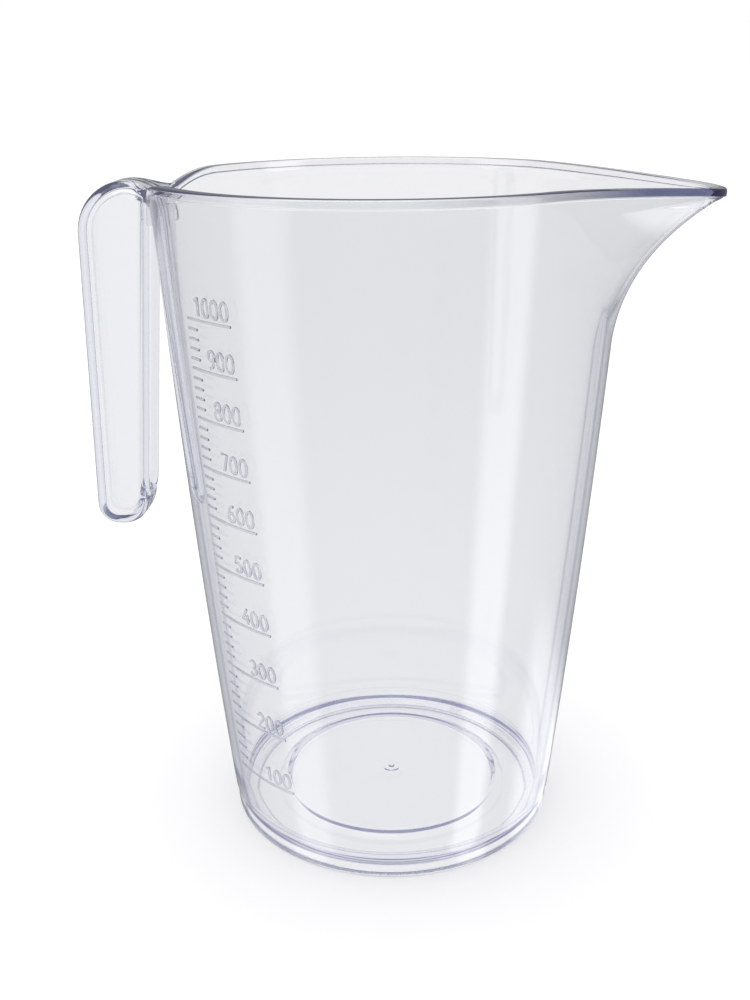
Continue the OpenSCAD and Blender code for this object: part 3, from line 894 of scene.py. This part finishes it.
def camera():
    """The photograph's camera."""
    data = bpy.data.cameras.new("camera")
    data.sensor_width = SENSOR
    data.lens = LENS
    obj = bpy.data.objects.new("camera", data)
    right = Vector(CAMERA_RIGHT).normalized()
    ahead = Vector(CAMERA_AHEAD).normalized()
    up = right.cross(ahead)
    right = ahead.cross(up)
    turn = Matrix((right, up, -ahead)).transposed().to_4x4()
    turn.translation = Vector(CAMERA_PLACE) * MM
    obj.matrix_world = turn
    bpy.context.scene.collection.objects.link(obj)
    bpy.context.scene.camera = obj


def table():
    """A pale table that reads white and keeps the jug's shadow."""
    bpy.ops.mesh.primitive_plane_add(size=TABLE_SIDE)
    obj = bpy.context.object
    obj.name = "floor"
    mat = bpy.data.materials.new("floor")
    t = fresh_tree(mat)
    out = t.nodes.new("ShaderNodeOutputMaterial")
    dull = node(t, "ShaderNodeBsdfDiffuse", Color=TABLE_TINT)
    glow = node(t, "ShaderNodeEmission", Color=WHITE, Strength=TABLE_GLOW)
    # Through the clear plastic the table shows as the white background, without the jug's own shade
    white = node(t, "ShaderNodeEmission", Color=WHITE, Strength=TABLE_SEEN_THROUGH)
    path = t.nodes.new("ShaderNodeLightPath")
    surface = mixed(t, path.outputs["Is Transmission Ray"], added(t, dull, glow), white)
    t.links.new(surface.outputs[0], out.inputs["Surface"])
    obj.data.materials.append(mat)
    # Reflections look past the table to the studio's soft boxes
    obj.visible_glossy = False


def soft_box(tree, azimuth, middle, half, feather, strength):
    """An upright soft box in the studio round the jug, by its bearing and half width in degrees."""
    turned = calc(tree, "WRAP", calc(tree, "SUBTRACT", azimuth, math.radians(middle)), math.pi, -math.pi)
    fade = smooth(tree, calc(tree, "ABSOLUTE", turned), math.radians(half + feather), math.radians(half))
    return calc(tree, "MULTIPLY", fade, strength)


def world():
    """White where the camera and the clear plastic look through to it and on dull surfaces, and in
    reflections a dim cool studio with soft boxes right, left, low behind and above."""
    studio = bpy.data.worlds.new("studio")
    bpy.context.scene.world = studio
    t = fresh_tree(studio)
    out = t.nodes.new("ShaderNodeOutputWorld")
    way = split(t, t.nodes.new("ShaderNodeTexCoord").outputs["Generated"])
    azimuth = calc(t, "ARCTAN2", way["Y"], way["X"])
    sides = calc(t, "MAXIMUM", soft_box(t, azimuth, *RIGHT_BOX), soft_box(t, azimuth, *LEFT_BOX))
    rear = calc(t, "MULTIPLY", soft_box(t, azimuth, *REAR_BOX), smooth(t, way["Z"], *REAR_BOX_FALL))
    above = calc(t, "MULTIPLY", smooth(t, way["Z"], *TOP_BOX_RISE), TOP_BOX)
    boxes = calc(t, "MAXIMUM", sides, calc(t, "MAXIMUM", rear, above))
    mirrored = node(t, "ShaderNodeBackground", Color=STUDIO_TINT)
    t.links.new(calc(t, "ADD", boxes, STUDIO_DIM), mirrored.inputs["Strength"])
    white = node(t, "ShaderNodeBackground", Color=WHITE, Strength=1.0)
    path = t.nodes.new("ShaderNodeLightPath").outputs
    through = calc(t, "MAXIMUM", path["Is Camera Ray"], path["Is Transmission Ray"])
    surface = mixed(t, through, mixed(t, path["Is Glossy Ray"], white, mirrored), white)
    t.links.new(surface.outputs[0], out.inputs["Surface"])


def lamp():
    """A weak lamp above the jug that points at its foot."""
    data = bpy.data.lights.new("top", "AREA")
    data.shape = "RECTANGLE"
    data.size, data.size_y = LAMP_SIZE
    data.energy = LAMP_POWER
    obj = bpy.data.objects.new("top", data)
    obj.location = LAMP_PLACE
    obj.rotation_euler = (-Vector(LAMP_PLACE)).to_track_quat("-Z", "Y").to_euler()
    bpy.context.scene.collection.objects.link(obj)


jug()
camera()
table()
world()
lamp()
bpy.context.scene.view_settings.view_transform = "Standard"
